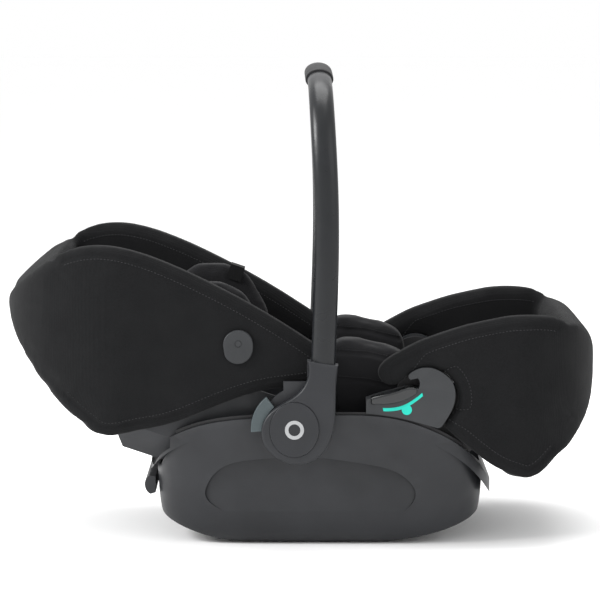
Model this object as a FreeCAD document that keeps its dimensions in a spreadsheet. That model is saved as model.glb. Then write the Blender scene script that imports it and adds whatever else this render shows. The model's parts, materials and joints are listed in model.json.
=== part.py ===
import FreeCAD, Part
import math
import os
from FreeCAD import Placement, Rotation, Vector

# Infant car seat (a rear-facing carrier with a carry handle and a lie-flat recline).
# Frame, in millimetres: +X towards the child's feet, +Y towards the child's left, +Z up.
# The origin is on the floor, straight below the axis that the handle and the backrest turn on.
# The right-hand side (Y below 0) is drawn, and the left-hand side is its mirror image.

doc = FreeCAD.newDocument("InfantCarSeat")
sheet = doc.addObject("Spreadsheet::Sheet", "Dims")

DIMENSIONS = [
    # alias, millimetres or degrees, what it is
    ("pivot_height", 158, "axis of the handle and of the backrest, above the floor"),
    ("pin_radius", 8, "pivot pins"),
    ("running_gap", 0.06, "radial clearance of a turning bore"),
    ("shell_centre", 36, "middle of the rocker shell along X"),
    ("shell_wall", 4, "wall of the rocker shell"),
    ("shell_half_width", 190, "rocker shell at its rim"),
    ("shell_half_length", 218, "rocker shell at its rim"),
    ("foot_height", 3, "rubber pads let into the shell's flat bottom"),
    ("foot_radius", 14, "rubber feet"),
    ("bar_radius", 5, "steel anchor bars under the shell"),
    ("bar_height", 17, "axis of the anchor bars"),
    ("rear_bar_x", -95, "rear anchor bar"),
    ("front_bar_x", 125, "front anchor bar"),
    ("bracket_inner", 190.8, "inner face of the hub bracket, from the middle plane"),
    ("bracket_thickness", 5.6, "hub bracket"),
    ("arm_inner", 197, "inner face of the handle arm, from the middle plane"),
    ("arm_plate_start", 209, "back of the handle arm's front plate"),
    ("arm_outer", 220, "front face of the handle arm"),
    ("cap_thickness", 1.8, "hub cap"),
    ("emblem_thickness", 0.6, "plain ring inlay on the hub cap"),
    ("button_inner", 199.5, "inner face of the handle release button"),
    ("button_depth", 8.5, "handle release button, along Y"),
    ("tube_offset", 208, "handle tube's axis from the middle plane"),
    ("tube_half_wide", 15.5, "handle tube, half its size along X"),
    ("tube_half_thin", 10.5, "handle tube, half its size across X"),
    ("grip_skin", 2.6, "soft grip sleeve"),
    ("grip_half_length", 92, "soft grip sleeve"),
    ("side_plate_inner", 153.5, "backrest shell's side plate"),
    ("side_plate_thickness", 4, "backrest shell's side plate"),
    ("wing_inner", 158, "side wings"),
    ("wing_thickness", 30, "side wings"),
    ("back_slope", 18.5, "backrest at full recline, from level"),
    ("back_pad_thickness", 20, "backrest pad"),
    ("back_depth", 73, "backrest pad to the bottom of its shell"),
    ("leg_pivot_x", 170, "leg rest pivot"),
    ("leg_pivot_z", 193, "leg rest pivot"),
    ("guide_radius", 38.5, "belt guide disc"),
    ("guide_inner", 157.6, "inner face of the belt guide"),
    ("guide_outer", 187, "outer face of the belt guide"),
    ("leg_plate_inner", 142, "leg rest shell's side plate"),
    ("leg_plate_thickness", 6, "leg rest shell's side plate"),
    ("upright_inner", 150, "seat pan's upright"),
    ("upright_thickness", 7.5, "seat pan's upright"),
    ("mount_thickness", 7.5, "canopy mount"),
    ("strap_width", 38, "harness webbing"),
    ("strap_thickness", 2, "harness webbing"),
    ("strap_offset", 46, "shoulder strap's middle from the middle plane"),
]
for row, (alias, value, note) in enumerate(DIMENSIONS, 1):
    sheet.set(f"A{row}", note)
    sheet.set(f"B{row}", str(value))
    sheet.setAlias(f"B{row}", alias)
doc.recompute()


def dim(alias):
    return float(sheet.get(alias))


PIVOT = (0.0, dim("pivot_height"))
LEG_PIVOT = (dim("leg_pivot_x"), dim("leg_pivot_z"))
WALL = dim("shell_wall")
# The backrest's own axes: x runs down the back towards the hips, z stands off its surface.
BACK_ORIGIN = Vector(20, 0, 118)
BACK = Placement(BACK_ORIGIN, Rotation(Vector(0, 1, 0), dim("back_slope")))
# The seat's own axes, along the surface under the thighs.
SEAT = Placement(Vector(30, 0, 112), Rotation(Vector(0, 1, 0), -14))
SIDE = ("_right", "_left")

parts = []


# ---------------------------------------------------------------- curves and outlines
def line(*points):
    """Straight runs through points given as (x, z), without any run of no length."""
    corners = [Vector(x, z, 0) for x, z in points]
    return [Part.LineSegment(a, b) for a, b in zip(corners, corners[1:]) if a != b]


def smooth(*points):
    """One smooth curve through points given as (x, z)."""
    curve = Part.BSplineCurve()
    curve.interpolate([Vector(x, z, 0) for x, z in points])
    return [curve]


def loop(*points):
    """One closed smooth curve through points given as (x, z)."""
    curve = Part.BSplineCurve()
    curve.interpolate([Vector(x, z, 0) for x, z in points], PeriodicFlag=True)
    return [curve]


def arc(centre, radius, start, end):
    """A circular arc, with its angles in degrees, counter-clockwise from +X."""
    middle = (start + end) / 2
    a, b, c = (polar(centre, radius, angle) for angle in (start, middle, end))
    return [Part.Arc(Vector(*a, 0), Vector(*b, 0), Vector(*c, 0))]


def polar(centre, radius, angle):
    turn = math.radians(angle)
    return (centre[0] + radius * math.cos(turn), centre[1] + radius * math.sin(turn))


def circle(centre, radius):
    return [Part.Circle(Vector(centre[0], centre[1], 0), Vector(0, 0, 1), radius)]


def ellipse(centre, half_x, half_z):
    shape = Part.Ellipse(Vector(centre[0], centre[1], 0), max(half_x, half_z), min(half_x, half_z))
    if half_z > half_x:
        shape.rotate(Placement(Vector(centre[0], centre[1], 0), Rotation(Vector(0, 0, 1), 90),
                               Vector(0, 0, 0)))
    return [shape]


def side_face(outline):
    """The flat face, in the XZ plane, inside an outline of (x, z) curves."""
    wire = Part.Wire(Part.__sortEdges__([curve.toShape() for curve in outline]))
    wire.rotate(Vector(0, 0, 0), Vector(1, 0, 0), 90)
    return Part.Face(wire)


def side_prism(outline, y0, y1):
    """An outline in the XZ plane, made solid from y0 to y1."""
    face = side_face(outline)
    face.translate(Vector(0, y0, 0))
    return face.extrude(Vector(0, y1 - y0, 0))


def superellipse(z, centre, half_length, half_width, power):
    """A closed wire at height z: an oval squared off by power."""
    points = []
    for step in range(48):
        turn = 2 * math.pi * (step + 0.5) / 48
        c, s = math.cos(turn), math.sin(turn)
        points.append(Vector(centre + half_length * math.copysign(abs(c) ** (2 / power), c),
                             half_width * math.copysign(abs(s) ** (2 / power), s), z))
    curve = Part.BSplineCurve()
    curve.interpolate(points, PeriodicFlag=True)
    return Part.Wire([curve.toShape()])


def plan_prism(centre, half_length, half_width, power, z0=-10, z1=450):
    wire = superellipse(z0, centre, half_length, half_width, power)
    return Part.Face(wire).extrude(Vector(0, 0, z1 - z0))


def box(x0, x1, y0, y1, z0, z1):
    return Part.makeBox(x1 - x0, y1 - y0, z1 - z0, Vector(x0, y0, z0))


def rod(radius, x, z, y0, y1):
    """A cylinder along Y."""
    return Part.makeCylinder(radius, y1 - y0, Vector(x, y0, z), Vector(0, 1, 0))


def rounded(shape, radius, wanted):
    """Fillets the edges that wanted(edge) picks."""
    edges = [edge for edge in shape.Edges if wanted(edge)]
    return shape.makeFillet(radius, edges)


# ---------------------------------------------------------------- document objects
def keep(obj, label):
    obj.Label = label
    parts.append(obj)
    return obj


def feature(label, shape, placement=None):
    """A sub-part whose shape is worked out here from the sheet."""
    if shape.ShapeType == "Compound" and len(shape.Solids) == 1:
        shape = shape.Solids[0]
    obj = doc.addObject("Part::Feature", label)
    obj.Shape = shape
    if placement:
        obj.Placement = placement
    return keep(obj, label)


def mirrored(source, label):
    obj = doc.addObject("Part::Mirroring", label)
    obj.Source = source
    obj.Normal = (0, 1, 0)
    return keep(obj, label)


def pair(build, name, together=None):
    """Builds the right-hand sub-part and mirrors it; together names the two as one sub-part."""
    right = build(name + SIDE[0])
    left = mirrored(right, name + SIDE[1])
    if together:
        share(together, right, left)


def share(label, *members):
    """Gathers like pieces of one body into one sub-part."""
    group = doc.addObject("Part::Compound", label)
    group.Links = list(members)
    for member in members:
        parts.remove(member)
    return keep(group, label)


def body_with_pad(label, outline, start, length, holes=()):
    """A body padded away from the middle plane, from the cell start, by the expression length."""
    body = doc.addObject("PartDesign::Body", label)
    sketch = body.newObject("Sketcher::SketchObject", label + "_outline")
    plane = next(p for p in body.Origin.OriginFeatures if p.Role == "XZ_Plane")
    sketch.AttachmentSupport = [(plane, "")]
    sketch.MapMode = "FlatFace"
    sketch.setExpression("AttachmentOffset.Base.z", start)
    sketch.addGeometry(list(outline), False)
    for hole in holes:
        sketch.addGeometry(list(hole), False)
    pad = body.newObject("PartDesign::Pad", label + "_pad")
    pad.Profile = sketch
    pad.setExpression("Length", length)
    body.Tip = pad
    doc.recompute()
    return body


def soften(body, radius, wanted):
    """Fillets a body's edges picked by wanted(edge)."""
    base = body.Tip
    names = [f"Edge{n}" for n, edge in enumerate(base.Shape.Edges, 1) if wanted(edge)]
    fillet = body.newObject("PartDesign::Fillet", body.Name + "_fillet")
    fillet.Base = (base, names)
    fillet.Radius = radius
    body.Tip = fillet
    doc.recompute()
    return body


def pocket(body, outline, start, length):
    """Cuts an outline out of a body, from the cell start towards the middle plane."""
    sketch = body.newObject("Sketcher::SketchObject", body.Name + "_cut")
    plane = next(p for p in body.Origin.OriginFeatures if p.Role == "XZ_Plane")
    sketch.AttachmentSupport = [(plane, "")]
    sketch.MapMode = "FlatFace"
    sketch.setExpression("AttachmentOffset.Base.z", start)
    sketch.addGeometry(list(outline), False)
    before = body.Shape.Volume
    cut = body.newObject("PartDesign::Pocket", body.Name + "_pocket")
    cut.Profile = sketch
    cut.setExpression("Length", length)
    body.Tip = cut
    doc.recompute()
    if body.Shape.Volume >= before - 0.01:
        raise RuntimeError(f"the pocket in {body.Label} cuts nothing")
    return body


def on_plane(edge, y):
    """True for an edge that lies flat at Y = y."""
    return abs(edge.BoundBox.YMin - y) < 0.01 and abs(edge.BoundBox.YMax - y) < 0.01


def cylinder(label, radius, centre, start, length):
    """A Part::Cylinder along -Y, its radius, start and length bound to the sheet."""
    obj = doc.addObject("Part::Cylinder", label)
    obj.setExpression("Radius", radius)
    obj.setExpression("Height", length)
    obj.Placement = Placement(Vector(centre[0], 0, centre[1]), Rotation(Vector(1, 0, 0), 90))
    obj.setExpression("Placement.Base.y", f"-({start})")
    return keep(obj, label)


# ---------------------------------------------------------------- rocker shell
# Each section of the shell: height, half length and half width.
SECTIONS = [(0, 176, 136), (14, 200, 158), (40, 209, 167), (90, 213, 175),
            (176, dim("shell_half_length"), dim("shell_half_width"))]
SQUARENESS = 5
RIM = [(-210, 52), (-190, 92), (-173, 124), (-134, 152), (-56, 168), (40, 172), (124, 169),
       (184, 149), (231, 115), (254, 82), (268, 52)]
ROCKER = [(-210, 52), (-168, 32), (-120, 13), (-60, 0)]
ROCKER_FRONT = [(115, 0), (180, 13), (236, 33), (268, 52)]
FLANGE = 18


def rim_outline(raise_rim=0, raise_floor=0):
    """The shell's side view: a domed rim over a rocker that is flat in its middle."""
    top = [(x, z + raise_rim) for x, z in RIM]
    rear = [(x, z + raise_floor) for x, z in ROCKER]
    front = [(x, z + raise_floor) for x, z in ROCKER_FRONT]
    return (smooth(*top) + smooth(*rear) + line(rear[-1], front[0]) + smooth(*front)
            + line(top[0], rear[0]) + line(top[-1], front[-1]))


def shell_loft(inset, raise_floor=0):
    wires = []
    for n, (z, half_length, half_width) in enumerate(SECTIONS):
        height = z + raise_floor if n == 0 else z
        wires.append(superellipse(height, dim("shell_centre"), half_length - inset,
                                  half_width - inset, SQUARENESS))
    return Part.makeLoft(wires, True, False)


def rear_gate():
    """The dip in the rear wall that the backrest's underside drops into, as (y, z) run along X."""
    points = [(-160, 220), (-160, 126), (-123, 97.7), (123, 98.3), (160, 126), (160, 220)]
    wire = Part.makePolygon([Vector(-230, y, z) for y, z in points + points[:1]])
    return Part.Face(wire).extrude(Vector(90, 0, 0))


def rim_flange():
    """The lip that stands out from the rim at both ends."""
    below = [(x, z - FLANGE) for x, z in RIM]
    band = smooth(*RIM) + smooth(*below) + line(RIM[0], below[0]) + line(RIM[-1], below[-1])
    return plan_prism(37, 222, 184, SQUARENESS).common(side_prism(band, -260, 260))


def recess(grow):
    """The long oval on the shell's side."""
    centre = (24, 74)
    points = [(-111, 73), (-88, 104), (-40, 115), (30, 117), (95, 108), (144, 90), (158, 68),
              (139, 42), (60, 34), (-40, 36), (-95, 49)]
    grown = []
    for x, z in points:
        reach = math.hypot(x - centre[0], z - centre[1])
        grown.append((centre[0] + (x - centre[0]) * (reach + grow) / reach,
                      centre[1] + (z - centre[1]) * (reach + grow) / reach))
    return loop(*grown)


def make_rocker_shell():
    """The outer tub: a domed rim, a rocker bottom, a recessed oval on each side and end lips."""
    wide = 260
    outer = shell_loft(0).common(side_prism(rim_outline(), -wide, wide))
    cavity = shell_loft(WALL, WALL).common(side_prism(rim_outline(60, WALL), -wide, wide))
    floor_oval = (SECTIONS[2][1] + 0.5, SECTIONS[2][2] + 1)
    core = plan_prism(dim("shell_centre"), floor_oval[0], floor_oval[1], SQUARENESS)
    inner_core = plan_prism(dim("shell_centre"), floor_oval[0] - WALL, floor_oval[1] - WALL,
                            SQUARENESS)
    for y0, y1 in ((-wide, -60), (60, wide)):
        outer = outer.cut(side_prism(recess(0), y0, y1).cut(core))
        cavity = cavity.cut(side_prism(recess(WALL), y0, y1).cut(inner_core))
    shell = outer.fuse(rim_flange()).cut(cavity).cut(rear_gate())
    for y in (-60, 46):
        shell = shell.cut(box(-200, -160, y, y + 14, 64, 84))
    for x in (dim("rear_bar_x"), dim("front_bar_x")):
        shell = shell.cut(box(x - 17, x + 17, -48, 48, -5, 30))
        for y in (-60, 50):
            shell = shell.fuse(box(x - 11, x + 11, y, y + 10, 6, 26))
        shell = shell.cut(rod(dim("bar_radius"), x, dim("bar_height"), -60, 60))
    shell = shell.cut(rod(dim("pin_radius"), *PIVOT, -wide, -150))
    shell = shell.cut(rod(dim("pin_radius"), *PIVOT, 150, wide))
    for x, y in FEET:
        shell = shell.cut(foot(x, y))
    feature("rocker_shell", shell.removeSplitter())


FEET = [(x, y) for x in (-44, 100) for y in (-96, 96)]


def foot(x, y):
    return Part.makeCylinder(dim("foot_radius"), dim("foot_height"), Vector(x, y, 0))


def make_rim_trim():
    """The black edging that stands just above the shell's rim."""
    inset, thickness = WALL + 0.3, 2.6
    ring = shell_loft(inset).cut(shell_loft(inset + thickness))
    below = [(x, z - 3) for x, z in RIM]
    above = [(x, z + 4.5) for x, z in RIM]
    band = (smooth(*above) + smooth(*below) + line(above[0], below[0])
            + line(above[-1], below[-1]))
    ring = ring.common(side_prism(band, -260, 260)).cut(rear_gate())
    ring = ring.cut(box(240, 300, -260, 260, -10, 300)).cut(box(205, 300, -158, 158, -10, 300))
    feature("rim_trim", ring)


def make_feet_and_bars():
    feature("rubber_feet", Part.makeCompound([foot(x, y) for x, y in FEET]))
    bars = [cylinder(cell, "Dims.bar_radius", (dim(cell), dim("bar_height")), "-60", "120")
            for cell in ("rear_bar_x", "front_bar_x")]
    share("anchor_bars", *bars)


# ---------------------------------------------------------------- hub and handle
def make_hub_bracket(label):
    """The plate on the shell's outside that carries the pivot pin."""
    outline = line((-11, 217), (-11, 205))
    outline += smooth((-11, 205), (-27, 191), (-34, 168), (-29, 142), (-9, 126), (20, 122), (42, 132))
    outline += line((42, 132), (46, 217), (-11, 217))
    body = body_with_pad(label, outline, "Dims.bracket_inner", "Dims.bracket_thickness",
                         [circle(PIVOT, dim("pin_radius"))])
    return keep(body, label)


def hub_outline():
    """The arm's side view: a round hub that sweeps up into the tube's socket."""
    return (smooth((19, 246), (19, 222), (11, 208), (-11, 192), (-29, 179), (-38, 163), (-37, 145),
                   (-25, 127), (-2, 115), (22, 117), (42, 133), (52, 158), (55, 200), (58, 240))
            + line((58, 240), (19, 246)))


def make_handle_arm(label):
    """A hub plate with a boss behind it and a socket that the handle tube stands in."""
    body = body_with_pad(label, hub_outline(), "Dims.arm_plate_start",
                         "Dims.arm_outer - Dims.arm_plate_start")
    outer = -dim("arm_outer")
    soften(body, 3.5, lambda e: on_plane(e, outer) and e.BoundBox.ZMin < 239)
    boss = circle(PIVOT, 30)
    add_pad(body, boss, "Dims.arm_inner", "Dims.arm_plate_start - Dims.arm_inner + 1")
    socket = (line((19, 246), (19, 205), (30, 180), (52, 180), (58, 240), (19, 246)))
    add_pad(body, socket, "Dims.arm_inner", "Dims.arm_plate_start - Dims.arm_inner + 1")
    tube_hole = handle_pipe(dim("tube_half_wide"), dim("tube_half_thin"))
    bore = rod(dim("pin_radius") + dim("running_gap"), *PIVOT, -216, -190)
    cap_seat = side_prism(ellipse(HUB_CAP, 31.4, 35.4), outer, outer + 2)
    doc.recompute()
    shape = body.Shape.cut(tube_hole).cut(bore).cut(cap_seat)
    body.Label = label + "_blank"
    return feature(label, shape)


def add_pad(body, outline, start, length):
    sketch = body.newObject("Sketcher::SketchObject", body.Name + "_boss")
    plane = next(p for p in body.Origin.OriginFeatures if p.Role == "XZ_Plane")
    sketch.AttachmentSupport = [(plane, "")]
    sketch.MapMode = "FlatFace"
    sketch.setExpression("AttachmentOffset.Base.z", start)
    sketch.addGeometry(list(outline), False)
    pad = body.newObject("PartDesign::Pad", body.Name + "_boss_pad")
    pad.Profile = sketch
    pad.setExpression("Length", length)
    body.Tip = pad
    doc.recompute()


HUB_CAP = (3, 159)
# The handle tube's axis on one side: x, share of the tube's offset from the middle, z.
TUBE_PATH = [(38, 1, 196), (41, 1, 290), (43.5, 1, 380), (43, 0.985, 450), (40, 0.93, 520),
             (37, 0.77, 571), (35, 0.45, 594), (34, 0, 600)]


def handle_pipe(half_wide, half_thin, reach=1.0):
    """The arched tube, or with reach under 1 only its top, as a solid oval bar."""
    offset = dim("tube_offset")
    near = [Vector(x, -share * offset, z) for x, share, z in TUBE_PATH]
    far = [Vector(v.x, -v.y, v.z) for v in reversed(near[:-1])]
    curve = Part.BSplineCurve()
    curve.interpolate(near + far)
    start = near[0]
    oval = Part.Ellipse(Vector(0, 0, 0), half_wide, half_thin).toShape()
    oval.Placement = Placement(start, Rotation())
    maker = Part.BRepOffsetAPI.MakePipeShell(Part.Wire([curve.toShape()]))
    maker.setBiNormalMode(Vector(1, 0, 0))
    maker.add(Part.Wire([oval]), False, False)
    maker.build()
    maker.makeSolid()
    half = maker.shape().common(box(-100, 200, -reach * offset - 30 * (reach == 1), 0, 0, 700))
    return half.fuse(half.mirror(Vector(0, 0, 0), Vector(0, 1, 0))).removeSplitter()


def make_handle():
    tube = handle_pipe(dim("tube_half_wide"), dim("tube_half_thin"))
    feature("handle_tube", tube)
    skin = dim("grip_skin")
    reach = dim("grip_half_length") / dim("tube_offset")
    grip = handle_pipe(dim("tube_half_wide") + skin, dim("tube_half_thin") + skin, reach)
    ends = -dim("grip_half_length")
    grip = rounded(grip, 1.5, lambda e: on_plane(e, ends) or on_plane(e, -ends))
    feature("grip_sleeve", grip.cut(tube))
    pair(make_handle_arm, "handle_arm")
    pair(make_hub_cap, "hub_cap", "hub_caps")
    pair(make_emblem, "hub_ring", "hub_rings")


def make_hub_cap(label):
    body = body_with_pad(label, ellipse(HUB_CAP, 31, 35), "Dims.arm_outer - 1.9",
                         "Dims.cap_thickness + 1.9")
    outer = -dim("arm_outer") - dim("cap_thickness")
    soften(body, 1.2, lambda e: on_plane(e, outer))
    return keep(body, label)


def make_emblem(label):
    body = body_with_pad(label, circle(HUB_CAP, 12), "Dims.arm_outer + Dims.cap_thickness",
                         "Dims.emblem_thickness", [circle(HUB_CAP, 7.5)])
    return keep(body, label)


# Handle release button: an arc-shaped key behind the hub's rim, pressed towards the pivot.
BUTTON_ANGLES = (129, 184)
BUTTON_RADII = (36, 52)


def make_release_button(label):
    first, last = BUTTON_ANGLES
    inner, outer = BUTTON_RADII
    outline = (arc(PIVOT, outer, first, last) + arc(PIVOT, inner, first, last)
               + line(polar(PIVOT, outer, first), polar(PIVOT, inner, first))
               + line(polar(PIVOT, outer, last), polar(PIVOT, inner, last)))
    body = body_with_pad(label, outline, "Dims.button_inner", "Dims.button_depth")
    return keep(soften(body, 1.5, lambda e: rim_edge(e, outer)), label)


def rim_edge(edge, radius):
    """True for the long edges on the button's outer arc."""
    middle = edge.valueAt((edge.FirstParameter + edge.LastParameter) / 2)
    reach = math.hypot(middle.x - PIVOT[0], middle.z - PIVOT[1])
    return abs(reach - radius) < 0.2 and edge.BoundBox.YLength < 0.01


def make_release_spring(label):
    """The coil behind the button, drawn as long as it is with the button pressed."""
    direction = math.radians(156.5)
    coil = Part.makeHelix(1.1, 1.1, 2.6)
    wire = Part.Circle(Vector(2.6, 0, 0), Vector(0, 1, 0), 0.4).toShape()
    maker = Part.BRepOffsetAPI.MakePipeShell(Part.Wire(coil.Edges))
    maker.setFrenetMode(True)
    maker.add(Part.Wire([wire]), False, False)
    maker.build()
    maker.makeSolid()
    spring = maker.shape()
    away = Vector(math.cos(direction), 0, math.sin(direction))
    spring.Placement = Placement(Vector(away.x * 30.4, -203.5, PIVOT[1] + away.z * 30.4),
                                 Rotation(Vector(0, 0, 1), away))
    return feature(label, spring)


def make_pivot_pin(label):
    return cylinder(label, "Dims.pin_radius", PIVOT, "150", "65.5")


def make_pivot_spacer(label):
    body = body_with_pad(label, circle(PIVOT, 13), "Dims.wing_inner", "20",
                         [circle(PIVOT, dim("pin_radius"))])
    return keep(body, label)


def make_leg_pin(label):
    return cylinder(label, "6", LEG_PIVOT, "141.5", "23")


# ---------------------------------------------------------------- backrest
CREST = [(-375, 308), (-353, 340), (-322, 364), (-286, 381), (-249, 388), (-212, 384),
         (-176, 373), (-104, 341), (-31, 301), (10, 275), (44, 252)]
HEAD_END = [(-375, 308), (-370, 288), (-341, 238), (-293, 184), (-248, 148)]
WING_FRONT = [(44, 252), (54, 240), (49, 225), (28, 213), (-12, 207)]
WING_LOW = [(-248, 148), (-225, 146), (-201, 151), (-164, 158), (-104, 180), (-12, 207)]


def back_plan():
    """The backrest from above: straight sides and a rounded head end."""
    return plan_prism(-190, 185, 188, 2.3).fuse(box(-190, 60, -188, 188, -10, 450))


def make_back_wing(label):
    outline = smooth(*CREST) + smooth(*HEAD_END) + smooth(*WING_LOW) + smooth(*WING_FRONT)
    outer = -dim("wing_inner") - dim("wing_thickness")
    wing = side_prism(outline, outer, -dim("wing_inner"))
    return feature(label, wing.common(back_plan()))


def make_head_end():
    band = (smooth(*HEAD_END) + line(HEAD_END[-1], (-226, 160))
            + smooth((-226, 160), (-256, 196), (-284, 240), (-300, 290), (-302, 360))
            + line((-302, 360), (-309, 368)) + smooth((-309, 368), (-331, 352), (-355, 331), (-375, 308)))
    half = dim("wing_inner") - 0.3
    feature("head_end_bolster", side_prism(band, -half, half).common(back_plan()))


def back_profile():
    """Cross-section of the plastic back shell, as (y, z) in the backrest's own axes."""
    half = dim("side_plate_inner") + dim("side_plate_thickness")
    depth = dim("back_depth")
    return [(-half, 58), (-half, -36), (-118, -depth), (118, -depth), (half, -36), (half, 58)]


def channel(points, x0, x1):
    """A closed cross-section run along the backrest's own x."""
    wire = Part.makePolygon([Vector(x0, y, z) for y, z in points + points[:1]])
    return Part.Face(wire).extrude(Vector(x1 - x0, 0, 0))


def back_room():
    """The space in front of the head end, cut off square below it."""
    trim = smooth((-322, 282), (-306, 240), (-276, 194), (-240, 156))
    trim += line((-240, 156), (-226, 144), (-214, 100), (60, 20), (60, 300), (-322, 282))
    return side_prism(trim, -200, 200)


def make_back_shell():
    """A plastic channel under the back, open at its ends, with bores at the pivot."""
    outer_points = back_profile()
    thick = dim("side_plate_thickness")
    inner_points = [(y - math.copysign(thick, y) * (1 if abs(y) > 120 else 0.45),
                     z + (thick if z < 0 else 10)) for y, z in outer_points]
    outer = channel(outer_points, -420, -6)
    inner = channel(inner_points, -430, 30)
    inner.Placement = BACK
    outer.Placement = BACK
    shell = outer.cut(inner).common(back_room()).cut(doc.getObject("head_end_bolster").Shape)
    plan = plan_prism(-190, 176, 158.2, 3).fuse(box(-190, 60, -158.2, 158.2, -10, 450))
    shell = shell.common(plan)
    bore = dim("pin_radius") + dim("running_gap")
    shell = shell.cut(rod(bore, *PIVOT, -200, 200))
    feature("back_shell", shell)


def make_back_pads():
    pad = -dim("back_pad_thickness")
    floor = 4.5 - dim("back_depth")
    bolster = doc.getObject("head_end_bolster").Shape
    soft = box(-300, 2, -150, 150, pad, 0)
    soft = rounded(soft, 8, lambda e: e.BoundBox.ZMin > -0.01 and e.BoundBox.ZMax < 0.01)
    soft.Placement = BACK
    feature("back_pad", soft.cut(bolster))
    foam = channel([(-141, pad - 0.3), (-141, -44), (-115, floor), (115, floor), (141, -44),
                    (141, pad - 0.3)], -296, -8)
    foam.Placement = BACK
    feature("back_foam", foam.common(back_room()).cut(bolster))
    sides = []
    for y in (-152.5, 142.5):
        block = box(-286, -92, y, y + 10, 0.5, 122).cut(box(-300, -260, -200, 200, 60, 130))
        block.Placement = BACK
        sides.append(block)
    feature("side_foam", Part.makeCompound(sides))


def make_canopy_mount(label):
    """The oval boss on the wing that a canopy clips to."""
    centre = (-70, 260)
    outline = loop((-87, 262), (-82, 276), (-69, 282), (-54, 276), (-49, 261), (-54, 246),
                   (-69, 239), (-83, 246))
    start = "Dims.wing_inner + Dims.wing_thickness"
    ring = (centre[0] + 2, centre[1] + 5)
    body = body_with_pad(label, outline, start, "Dims.mount_thickness")
    face = -dim("wing_inner") - dim("wing_thickness") - dim("mount_thickness")
    soften(body, 1.5, lambda e: on_plane(e, face))
    groove = circle(ring, 4.8) + circle(ring, 3.4)
    pocket(body, groove, f"{start} + Dims.mount_thickness", "0.8")
    return keep(body, label)


# ---------------------------------------------------------------- headrest (on the backrest)
HEADREST_TOP = -232


def make_headrest():
    """A padded cradle for the head that slides along the backrest."""
    low, high = HEADREST_TOP + 4, HEADREST_TOP + 138
    outer = [(-134, 96), (-134, 18), (-118, 1), (118, 1), (134, 18), (134, 96)]
    inner = [(-130, 110), (-130, 20), (-116, 6), (116, 6), (130, 20), (130, 110)]
    shell = channel(outer, low, high).cut(channel(inner, low - 10, high + 10))
    shell = shell.cut(box(low - 5, low + 70, -200, 200, 75, 120))
    feature("headrest_shell", shell, BACK)
    pad = box(HEADREST_TOP, HEADREST_TOP + 142, -108, 108, 6.3, 22)
    pad = rounded(pad, 6, lambda e: e.BoundBox.ZMin > 21.9)
    feature("headrest_pad", pad, BACK)

    def wing(label):
        profile = line((-230, 22.3), (-90, 22.3), (-90, 112), (-104, 134))
        profile += line((-104, 134), (-142, 168), (-176, 172), (-212, 160), (-230, 136), (-230, 22.3))
        block = side_prism(profile, -129.7, -108.3)
        return feature(label, block, BACK)

    right = wing("headrest_wing_right")
    mirrored(right, "headrest_wing_left")
    lever = box(HEADREST_TOP - 16, HEADREST_TOP - 0.5, -26, 26, 8, 16)
    lever = rounded(lever, 3, lambda e: e.BoundBox.XMax < HEADREST_TOP - 15)
    stem = box(HEADREST_TOP - 1, low - 0.2, -18, 18, 2, 5.8)
    feature("headrest_lever", lever.fuse(stem.fuse(box(HEADREST_TOP - 8, HEADREST_TOP - 0.6,
                                                       -18, 18, 2, 9))), BACK)
    strap_tag = box(-168, -148, 103.4, 131, 173, 174.2).fuse(box(-168, -148, 103.4, 104.6, 154, 173))
    feature("headrest_tag", strap_tag, BACK)


# ---------------------------------------------------------------- harness
def make_harness():
    """Shoulder straps, lap straps, crotch strap, buckle and chest pads."""
    half = dim("strap_width") / 2
    thick = dim("strap_thickness")
    offset = dim("strap_offset")

    def shoulder_strap(label):
        strap = box(-86, 10, -offset - half, -offset + half, 0.4, 0.4 + thick)
        return feature(label, strap, BACK)

    def chest_pad(label):
        pad = box(-84, -8, -offset - 24, -offset + 24, 2.8, 10)
        pad = rounded(pad, 3, lambda e: e.BoundBox.ZMin > 9.9)
        return feature(label, pad, BACK)

    pair(shoulder_strap, "shoulder_strap", "shoulder_straps")
    pair(chest_pad, "chest_pad", "chest_pads")
    body = box(38, 78, -24, 24, 0.6, 20)
    body = rounded(body, 5, lambda e: e.BoundBox.ZLength > 15)
    body = rounded(body, 3, lambda e: e.BoundBox.ZMin > 19.9)
    well = Part.makeBox(17, 25, 12, Vector(50.5, -12.5, 12))
    feature("buckle_body", body.cut(well), SEAT)
    button = box(51, 67, -12, 12, 15.2, 21.4)
    button = rounded(button, 1.2, lambda e: e.BoundBox.ZMin > 21.3)
    feature("buckle_button", button, SEAT)
    strap = box(78.2, 102, -19, 19, 2, 2 + thick)
    feature("crotch_strap", strap.fuse(box(100, 102, -19, 19, -36, 3)), SEAT)

    def tongue(label):
        plate = box(29.5, 37.8, -22, -3, 7, 9.5).fuse(box(24, 30, -38, -3, 7, 9.5))
        return feature(label, plate, SEAT)

    pair(tongue, "buckle_tongue", "buckle_tongues")


# ---------------------------------------------------------------- seat (fixed to the shell)
SEAT_END = 128


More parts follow.
